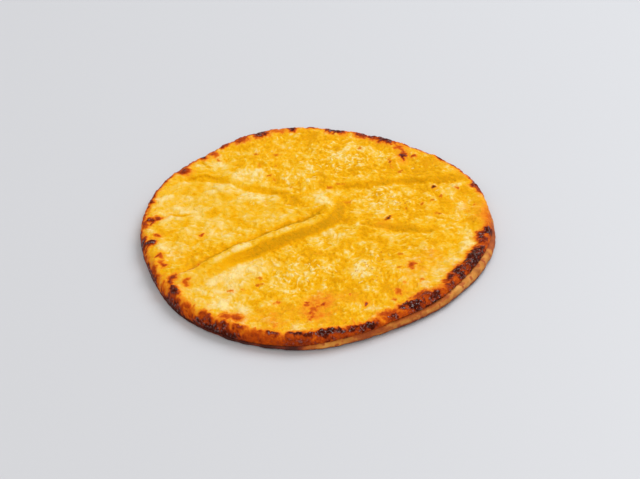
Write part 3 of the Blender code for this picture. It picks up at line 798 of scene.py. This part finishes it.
def toneOf(points, curds, small, strands, normals, fromRim):
    # How cream, 1, or amber, 0, each point is: the weighted sum of its fields, of which wax calms some,
    # plus painted light, paler on the side of each curd that faces the key lamp, then the folds' painted
    # shade and highlight.
    x, y = points[:, 0], points[:, 1]
    melt = points * (1, cheese["stretch"], 1)
    wax = waxOf(x, y)
    crumbly = melt + gradientNoise(melt, 1.6, 66)[:, None] * 0.7
    fields = {
        "zones": zonesOf(tonesAndPaintedShade, x, y), "curds": curds * (1 - 0.3 * wax), "small": small,
        "patches": np.tanh(1.3 * layeredNoise(melt, cheese["patchSize"], 95, 4, 0.75)) * (1 - 0.4 * wax),
        "strands": strands, "crumbs": (bubbles(crumbly, cheese["crumbSize"], 93) - 0.45) * (1 - 0.7 * wax),
        "pools": np.tanh(1.4 * layeredNoise(melt, cheese["poolSize"], 99, 2)) * wax, "wax": wax,
        # Painted shade along the creases.
        "creasesWithPaintedShade": creaseDepth(points),
    }
    tone = cheese["toneStart"] + sum(cheese[key] * field for key, field in fields.items())
    # Painted light: the tone is raised on slopes that face the key lamp and lowered on those turned away.
    paintedLight = np.clip(normals[:, :2] @ cheese["paintedLightFrom"], -cheese["paintedLightMost"], cheese["paintedLightMost"])
    tone = tone + cheese["paintedLightTone"] * paintedLight * smoothStep(1, 5, fromRim)
    return foldPaintedLight(np.clip(tone, *cheese["toneLimits"]), points)


def softLimit(value, most):
    # Levels off smoothly to stay under a limit: the limit less a softened ramp.
    return most - np.logaddexp(0, (most - value) * 8) / 8


def crownHeight(inset):
    # The level of the cheese's top before its relief, puffed up towards the rim.
    return naan["cheeseTop"] + naan["rimPuff"] * smoothStep(14, 6, inset)


def makeCheese():
    # The profile runs over the rim and down to the ledge, then back under the cheese; it is turned round,
    # shaped by the relief, and moved along its normals by the detail.
    top, lip, seam = naan["cheeseTop"], naan["lip"], naan["seam"] / 2
    crest = top + cheese["rollHeight"]
    down = [(inset, top + height) for inset, height in cheese["roll"]]
    roll = spline([(cheese["rollInset"], crest), *down, (0.5, ledgeHeight(0.5) + seam)],
                  cheese["rollRings"] + 1)[1:]
    under = ((2.2, ledgeHeight(2.2) + seam), (lip, ledgeHeight(lip) + seam), (lip, naan["breadTop"] - 0.6),
             (lip + 2.2, naan["breadTop"] + seam))
    angle, inset, height, ring, quads, last = shell(
        cheese["gridSteps"], cheese["rollInset"], np.concatenate([roll, under]))
    shoulder = np.interp(inset, (cheese["rollInset"], cheese["crownInset"]),
                         (crest, top + naan["rimPuff"]))
    crown = np.where(inset < cheese["crownInset"], shoulder, crownHeight(inset))
    points = place(inset, np.where(ring > 0, height, crown), angle, True)
    pulled = roundTheSide(naan["edgeInsets"], angle)
    outline = outlineRadius(angle)
    fromRim = outline - np.hypot(points[:, 0], points[:, 1])
    # Down the roll the browning goes by how far down it is, because the inset hardly changes there.
    share = np.minimum(ring / cheese["rollRings"], 1)
    onRoll = (1 - share) * (cheese["rollInset"] + 0.22 * pulled) + share * (0.7 * pulled - 0.5)
    toast, spot = toastOf(points, angle, np.where(ring > 0, onRoll, fromRim))
    char = bubbles(points + gradientNoise(points, 1.5, 65)[:, None] * 0.5, cheese["charBubble"], 91)
    rise, curds, small, strands = cheeseDetail(points, toast, char)
    paler, darker = cheese["charFade"]
    toast = toast * (1 - smoothStep(0.3, 0.8, toast) * (paler - darker * char))
    points = points + vertexNormals(points, quads) * (rise * (ring <= cheese["rollRings"]))[:, None]
    # Nothing passes the solids' top or their outline.
    points[:, 2] = softLimit(points[:, 2], cadHigh.z / mm - naan["clearance"])
    radius = np.hypot(points[:, 0], points[:, 1])
    points[:, :2] *= np.minimum(1, (outline - 0.02) / np.maximum(radius, 1e-6))[:, None]
    tone = toneOf(points, curds, small, strands, vertexNormals(points, quads), fromRim)
    makePiece("cheese_top", "cheese", cheeseMaterial("melted_cheese"), points, quads,
              [last[::-1]], {"tone": tone, "toast": toast, "spot": spot,
                             "pepper": zonesOf(peppered, points[:, 0], points[:, 1]),
                             "waxy": waxOf(points[:, 0], points[:, 1])})


# Baked leavened dough: dry and matt, mottled wheat with fine pores, and brown scorches where blisters
# met the oven floor.
breadLook = {
    "dough": ((0.1, "#aa621f"), (0.9, "#e0a250"), (0.5, "#cd842e")),
    "toasted": ((0.2, "#cf7d2c"), (0.95, "#421408"), (0.45, "#ad5417"), (0.7, "#7a2a0b")),
    "toastedFrom": (0.1, 0.4),
    "noises": ((0.004, 4, 0.6, 0), (0.0008, 3, 0.7, 0)),    # of the mottle and the pores, as for the cheese
    "shifts": (0.6, 0.3),
    "pores": {"Strength": 0.6, "Distance": 0.0004},
    "surface": {"Roughness": 0.72, "IOR": 1.45, "Specular IOR Level": 0.35},
}


def breadMaterial(name):
    # The dough's colour follows its tone, and the toasted colour covers it where it browned.
    look = breadLook
    made, tree, sockets, (tone, toast), noises, shifts, both = bakedMaterial(name, look, ("tone", "toast"))
    toned = addNode(tree, "ShaderNodeMath", {0: tone, 1: both}, operation="ADD")
    shown = addNode(tree, "ShaderNodeValToRGB", {0: toned}, stops=look["dough"])
    baked = addNode(tree, "ShaderNodeMath", {0: toast, 1: shifts[1]}, operation="ADD")
    brown = addNode(tree, "ShaderNodeValToRGB", {0: baked}, stops=look["toasted"])
    low, high = look["toastedFrom"]
    cover = addNode(tree, "ShaderNodeMapRange", {0: baked}, {1: low, 2: high},
                    interpolation_type="SMOOTHSTEP")
    shown = addNode(tree, "ShaderNodeMix", {0: cover, 6: shown, 7: brown}, out=2, data_type="RGBA")
    tree.links.new(shown, sockets["Base Color"])
    tree.links.new(addNode(tree, "ShaderNodeBump", {"Height": noises[1]}, look["pores"]), sockets["Normal"])
    return made


bread = {
    "gridSteps": 200,
    "sideRings": 22,
    "footInset": 9.0,           # where the flat underside starts to curve up
    "curve": ((1.6, 0.08), (0.35, 0.7), (0, 1.9)),      # inset and height, from the foot to the ledge
    "hidden": ((0.3, 4.5), (1.0, 5.0)), "hiddenEnd": 2.5,       # under the cheese, in from its lip
    "hollow": 0.35,             # how far the underside lifts off the table between its high spots
    "scorchSize": 9.0,          # spacing of the brown blisters underneath
    "scorchStrength": 0.95,
    "lumpSize": 5.0, "lumpHeight": 0.3,
    "raggedSize": 2.5, "raggedness": 0.3,               # of the edges of its browned stretches
    "speckleSize": 3.4, "speckleStrength": 0.5,
    "toneSize": 5, "toneStart": 0.42, "toneSpread": 0.5,
}
# Browned stretches of the bread's side: (first and last angle, lowest and highest mm, strength). The dark
# rows low at the front, from 178 to 358 degrees, are partly browning and partly painted shade: the contact
# shadow along the foot and the shade of the side turned from the key lamp.
sideBrowningAndShade = (
    (178, 262, 0.0, 4.5, 0.9), (220, 266, 0.0, 3.8, 1.0), (258, 270, 0.0, 4.5, 0.5),
    (280, 292, 1.6, 4.5, 0.55), (292, 318, 2.5, 4.5, 0.5), (346, 362, 1.6, 6.0, 0.6),
    (262, 300, -0.6, 1.0, 0.85), (292, 358, -0.6, 1.05, 0.98), (296, 356, 0.6, 1.7, 0.4),
    (15, 100, 0.0, 1.6, 0.5), (20, 32, 1.0, 4.5, 0.7), (60, 90, 2.0, 4.5, 0.6), (100, 178, 1.0, 4.5, 0.55),
)


def makeBread():
    # The profile runs from the flat foot up the side to the ledge, then on under the cheese. Lumps move
    # the side along its normals, and the underside lifts a little between its brown spots.
    seam = naan["seam"] / 2
    step = naan["lip"] + naan["seam"]
    ledge = [(inset, ledgeHeight(inset) - seam) for inset in naan["ledgeInsets"]]
    side = spline([(bread["footInset"], 0), *bread["curve"], *ledge], bread["sideRings"] + 1)[1:]
    hidden = [(step + inset, height) for inset, height in bread["hidden"]]
    hidden.append((step + bread["hiddenEnd"], naan["breadTop"] - seam))
    angle, inset, height, ring, quads, last = shell(
        bread["gridSteps"], bread["footInset"], np.concatenate([side, hidden]))
    quads = quads[:, ::-1]
    points = place(inset, height, angle, False)
    lumps = layeredNoise(points, bread["lumpSize"], 111, 3)
    spotsUnder = layeredNoise(points * (1, 1, 0.3), bread["scorchSize"], 121, 3, 0.55)
    underside = smoothStep(1.2, 0.1, height) * (ring <= bread["sideRings"])
    lift = bread["hollow"] * (0.6 + 0.4 * layeredNoise(points, 16, 131, 2) - 0.5 * spotsUnder)
    onSide = smoothStep(0, 6, ring) * smoothStep(bread["sideRings"] + 1, bread["sideRings"] - 4, ring)
    rise = bread["lumpHeight"] * (lumps - 0.5) * onSide
    points = points + vertexNormals(points, quads) * rise[:, None]
    points[:, 2] = np.maximum(points[:, 2] + underside * np.clip(lift, 0, None), 0)
    under = smoothStep(0.1, 0.75, spotsUnder) * underside * bread["scorchStrength"]
    browningAndShade = np.zeros_like(under)
    degrees = np.degrees(angle) + 1.2 * lumps
    level = height + bread["raggedness"] * layeredNoise(points, bread["raggedSize"], 141, 2)
    # Browning of the side, with painted shade along the foot at the front.
    for start, end, lowest, highest, strength in sideBrowningAndShade:
        turn = (degrees - start + 30) % 360 - 30
        window = smoothStep(-2.0, 2.0, turn) * smoothStep(2.0, -2.0, turn - (end - start))
        window = window * smoothStep(-0.6, 0.4, level - lowest) * smoothStep(0.6, -0.4, level - highest)
        browningAndShade = np.maximum(browningAndShade, strength * window)
    speckle = smoothStep(-0.05, 0.45, layeredNoise(points * (1, 1, 1.5), bread["speckleSize"], 145, 2))
    browningAndShade = np.maximum(browningAndShade, bread["speckleStrength"] * speckle)
    browningAndShade = browningAndShade * (1 - underside * smoothStep(1.4, 3.0, inset)) * (0.9 + 0.25 * lumps)
    toast = np.clip(np.maximum(under, browningAndShade), 0, 1)
    tone = bread["toneStart"] + bread["toneSpread"] * layeredNoise(points, bread["toneSize"], 151, 2)
    makePiece("bread_base", "bread", breadMaterial("baked_dough"), points, quads, [last],
              {"tone": tone, "toast": toast})


shreds = {
    "tries": 1300,                  # places drawn before the bare and the toasted ones are left out
    "fromRim": 9, "mostToast": 0.45, "mostWall": 0.25,      # none nearer the rim, browner, or on the slope
    "length": (1.2, 2.9), "width": (0.8, 1.4), "crown": (0.04, 0.14), "depth": 0.4,
    "bend": 0.16, "tone": (0.76, 0.12),                     # how much these vary, and the mean tone first
    "stations": 8, "sides": 6,
}


def topSurface(x, y):
    # The height of the finished cheese above any place on its top, and its browning there.
    angle = np.arctan2(y, x) % (2 * math.pi)
    fromMiddle = np.hypot(x, y)
    stretch = (outlineRadius(angle) - naan["inside"]) / naan["meanRadius"]
    inset = naan["meanRadius"] - fromMiddle / stretch
    points = place(inset, crownHeight(inset), angle, True)
    toast = np.maximum(*toastOf(points, angle, outlineRadius(angle) - fromMiddle))
    rise = cheeseDetail(points, toast, np.full_like(x, 0.5))[0]
    return points[:, 2] + rise, toast


def makeShreds():
    # Each shred is a bent, flattened tube: its middle line is an arc laid on the cheese, its width and
    # height follow the square root of 1 less |s| to the power 2.5 along it, where s runs from -1 to 1,
    # and only its crown stands out.
    draw = np.random.default_rng(17)
    count = shreds["tries"]
    reach = (naan["meanRadius"] - shreds["fromRim"]) * np.sqrt(draw.uniform(0, 1, count))
    turn = draw.uniform(0, 2 * math.pi, count)
    x, y = reach * np.cos(turn), reach * np.sin(turn)
    chance = 1.3 * strandCover(x, y) - 0.75
    kept = draw.uniform(0, 1, count) < chance
    kept &= (topSurface(x, y)[1] < shreds["mostToast"]) & (foldWall(x, y) < shreds["mostWall"])
    x, y = x[kept], y[kept]
    count = len(x)
    length, width, crown = (draw.uniform(*shreds[key], count)[:, None]
                            for key in ("length", "width", "crown"))
    heading = draw.uniform(0, math.pi, count)[:, None]
    bend = draw.normal(0, shreds["bend"], count)[:, None]
    s = np.linspace(-1, 1, shreds["stations"])[None, :]
    along, aside = length / 2 * s, length / 2 * bend * (s ** 2 - 0.3)
    lineX = x[:, None] + along * np.cos(heading) - aside * np.sin(heading)
    lineY = y[:, None] + along * np.sin(heading) + aside * np.cos(heading)
    direction = (heading + np.arctan(2 * bend * s))[..., None]
    full = np.sqrt(np.clip(1 - abs(s) ** 2.5, 0.02, 1)) * np.ones_like(lineX)
    ground, baked = (value.reshape(lineX.shape) for value in topSurface(lineX.ravel(), lineY.ravel()))
    ground = 0.5 * ground + 0.25 * (np.roll(ground, 1, 1) + np.roll(ground, -1, 1))
    middle = ground + (crown - shreds["depth"]) * full
    around = np.arange(shreds["sides"]) * 2 * math.pi / shreds["sides"]
    out = (width / 2 * full)[..., None] * np.cos(around)
    up = (shreds["depth"] * full)[..., None] * np.sin(around)
    points = np.stack([lineX[..., None] - out * np.sin(direction), lineY[..., None] + out * np.cos(direction),
                       middle[..., None] + up], axis=-1).reshape(-1, 3)
    points[:, 2] = softLimit(points[:, 2], cadHigh.z / mm - naan["clearance"])
    index = np.arange(len(points)).reshape(count, shreds["stations"], shreds["sides"])
    ahead = np.roll(index, -1, axis=2)
    quads = np.stack([ahead[:, :-1], ahead[:, 1:], index[:, 1:], index[:, :-1]], axis=-1).reshape(-1, 4)
    caps = [*index[:, 0], *index[:, -1, ::-1]]
    shade = draw.normal(*shreds["tone"], count) + 0.15 * zonesOf(tonesAndPaintedShade, x, y)
    tone, toast = (np.repeat(value, shreds["stations"] * shreds["sides"]) for value in (
        shade, 1.05 * baked.mean(1)))
    makePiece("cheese_shreds", "cheese", bpy.data.materials["melted_cheese"], points, quads,
              caps, {"tone": tone, "toast": toast})


print("bread")
makeBread()
print("cheese")
makeCheese()
print("shreds")
makeShreds()

# A pale floor, even soft light with one large lamp behind and to the right and a weaker one in front,
# and a long lens.
studio = {
    "floorSize": 6.0, "floor": "#c7c9cd", "floorRoughness": 0.5,
    "sky": "#e6e2df", "skyStrength": 0.8,
    "keyFrom": (0.85, 0.83, 1.42), "keySize": 1.25, "keyPower": 23.0, "keyColour": "#f5faff",
    "fillFrom": (-0.2, -1.5, 1.2), "fillSize": 1.4, "fillPower": 10.0, "fillColour": "#fffaf6",
    "lens": 85, "elevation": 35, "distance": 0.679, "look": (0.00087, -0.00926, -0.0016),
}


def makeFloor():
    # One flat square, which is only the stage.
    half = studio["floorSize"] / 2
    corners = [(-half, -half, 0), (half, -half, 0), (half, half, 0), (-half, half, 0)]
    mesh = bpy.data.meshes.new("floor")
    mesh.from_pydata(corners, [], [(0, 1, 2, 3)])
    mesh.materials.append(newMaterial("pale_floor", {
        "Base Color": colour(studio["floor"]), "Roughness": studio["floorRoughness"]})[0])
    floor = bpy.data.objects.new("floor", mesh)
    bpy.context.scene.collection.objects.link(floor)
    floor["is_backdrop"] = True


def makeLamp(name):
    # A round area lamp that faces the middle of the table.
    lamp = bpy.data.lights.new(name, "AREA")
    lamp.shape = "DISK"
    lamp.size = studio[name + "Size"]
    lamp.energy = studio[name + "Power"]
    lamp.color = colour(studio[name + "Colour"])[:3]
    made = bpy.data.objects.new(name, lamp)
    made.location = studio[name + "From"]
    made.rotation_euler = (-Vector(studio[name + "From"])).to_track_quat("-Z", "Y").to_euler()
    bpy.context.scene.collection.objects.link(made)


def makeCamera():
    # It looks down at the middle of the naan, a little off it, from the front.
    low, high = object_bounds()
    look = (low + high) / 2 + Vector(studio["look"])
    tilt = math.radians(studio["elevation"])
    back = Vector((0, -math.cos(tilt), math.sin(tilt)))
    lens = bpy.data.cameras.new("camera")
    lens.lens = studio["lens"]
    lens.clip_start = 0.01
    camera = bpy.data.objects.new("camera", lens)
    camera.location = look + back * studio["distance"]
    camera.rotation_euler = (-back).to_track_quat("-Z", "Y").to_euler()
    bpy.context.scene.collection.objects.link(camera)
    bpy.context.scene.camera = camera


print("studio")
makeFloor()
makeLamp("key")
makeLamp("fill")
sky = bpy.data.worlds.new("sky")
sky.use_nodes = True
sky.node_tree.nodes["Background"].inputs["Color"].default_value = colour(studio["sky"])
sky.node_tree.nodes["Background"].inputs["Strength"].default_value = studio["skyStrength"]
bpy.context.scene.world = sky
bpy.context.scene.view_settings.view_transform = "Standard"
makeCamera()
